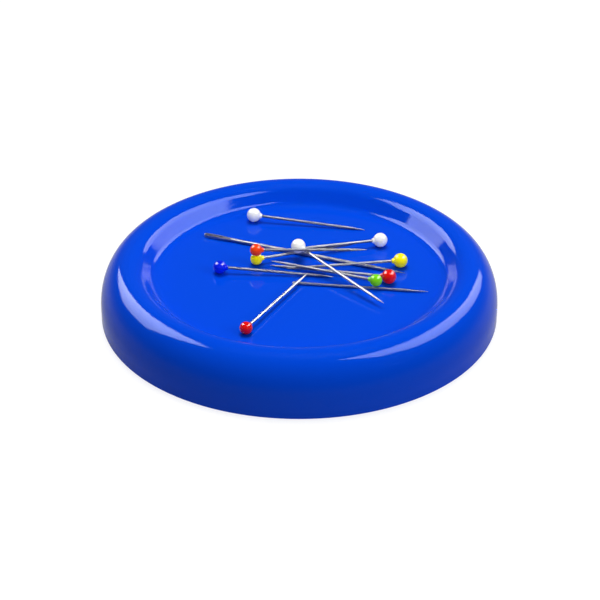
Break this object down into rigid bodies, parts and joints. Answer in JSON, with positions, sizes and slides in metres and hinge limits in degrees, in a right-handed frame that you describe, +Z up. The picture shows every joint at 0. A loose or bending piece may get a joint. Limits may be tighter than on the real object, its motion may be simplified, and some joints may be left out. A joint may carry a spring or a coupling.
{
  "type": "magnetic pin bowl",
  "caption": "Round glossy plastic dish with a rolled skirt, a soft crest and a shallow flat-floored recess, whose hidden ring magnet holds ball pins and needles.",
  "frame": {"origin": "on the table, under the centre of the dish", "axes": "+Z up, -Y towards the picture's viewer, +X to the viewer's right"},
  "size_m": [0.1088, 0.1088, 0.018],
  "materials": {
    "dish_plastic": "glossy moulded plastic, bright blue",
    "magnet_ferrite": "sintered ferrite, dark grey, matt",
    "plate_steel": "zinc-plated sheet steel",
    "cover_plastic": "blue plastic with a fine matt grain",
    "screw_steel": "zinc-plated steel",
    "foot_rubber": "soft black rubber, matt",
    "white_head": "glossy white ball",
    "blue_head": "glossy blue ball",
    "red_head": "glossy red ball",
    "yellow_head": "glossy yellow ball",
    "green_head": "glossy green ball",
    "orange_head": "glossy orange ball",
    "pin_steel": "bright drawn steel wire",
    "needle_steel": "nickel-plated polished steel"
  },
  "bodies": {
    "bowl": {"dish_shell": "dish_plastic", "ring_magnet": "magnet_ferrite", "backing_plate": "plate_steel", "base_cover": "cover_plastic", "base_screws": "screw_steel", "foot_1": "foot_rubber", "foot_2": "foot_rubber", "foot_3": "foot_rubber", "foot_4": "foot_rubber"},
    "red_front_pin": {"red_front_pin_head": "red_head", "red_front_pin_shaft": "pin_steel"},
    "orange_pin": {"orange_pin_head": "orange_head", "orange_pin_shaft": "pin_steel"},
    "white_middle_pin": {"white_middle_pin_head": "white_head", "white_middle_pin_shaft": "pin_steel"},
    "white_right_pin": {"white_right_pin_head": "white_head", "white_right_pin_shaft": "pin_steel"},
    "yellow_left_pin": {"yellow_left_pin_head": "yellow_head", "yellow_left_pin_shaft": "pin_steel"},
    "green_pin": {"green_pin_head": "green_head", "green_pin_shaft": "pin_steel"},
    "yellow_right_pin": {"yellow_right_pin_head": "yellow_head", "yellow_right_pin_shaft": "pin_steel"},
    "red_right_pin": {"red_right_pin_head": "red_head", "red_right_pin_shaft": "pin_steel"},
    "blue_pin": {"blue_pin_head": "blue_head", "blue_pin_shaft": "pin_steel"},
    "white_back_pin": {"white_back_pin_head": "white_head", "white_back_pin_shaft": "pin_steel"},
    "sewing_needle": {"sewing_needle": "needle_steel"},
    "darning_needle": {"darning_needle": "needle_steel"}
  },
  "joints": [
    {"name": "red_front_pin_lift", "type": "slide", "parent": "green_pin", "child": "red_front_pin", "axis": [0, 0, 1], "range_m": [0, 0.012]},
    {"name": "orange_pin_lift", "type": "slide", "parent": "white_middle_pin", "child": "orange_pin", "axis": [0, 0, 1], "range_m": [0, 0.012]},
    {"name": "white_middle_pin_lift", "type": "slide", "parent": "white_right_pin", "child": "white_middle_pin", "axis": [0, 0, 1], "range_m": [0, 0.012]},
    {"name": "white_right_pin_lift", "type": "slide", "parent": "yellow_left_pin", "child": "white_right_pin", "axis": [0, 0, 1], "range_m": [0, 0.012]},
    {"name": "yellow_left_pin_lift", "type": "slide", "parent": "green_pin", "child": "yellow_left_pin", "axis": [0, 0, 1], "range_m": [0, 0.012]},
    {"name": "green_pin_lift", "type": "slide", "parent": "yellow_right_pin", "child": "green_pin", "axis": [0, 0, 1], "range_m": [0, 0.012]},
    {"name": "yellow_right_pin_lift", "type": "slide", "parent": "red_right_pin", "child": "yellow_right_pin", "axis": [0, 0, 1], "range_m": [0, 0.012]},
    {"name": "red_right_pin_lift", "type": "slide", "parent": "blue_pin", "child": "red_right_pin", "axis": [0, 0, 1], "range_m": [0, 0.012]},
    {"name": "blue_pin_lift", "type": "slide", "parent": "sewing_needle", "child": "blue_pin", "axis": [0, 0, 1], "range_m": [0, 0.012]},
    {"name": "white_back_pin_lift", "type": "slide", "parent": "bowl", "child": "white_back_pin", "axis": [0, 0, 1], "range_m": [0, 0.012]},
    {"name": "sewing_needle_lift", "type": "slide", "parent": "darning_needle", "child": "sewing_needle", "axis": [0, 0, 1], "range_m": [0, 0.012]},
    {"name": "darning_needle_lift", "type": "slide", "parent": "bowl", "child": "darning_needle", "axis": [0, 0, 1], "range_m": [0, 0.012]}
  ]
}
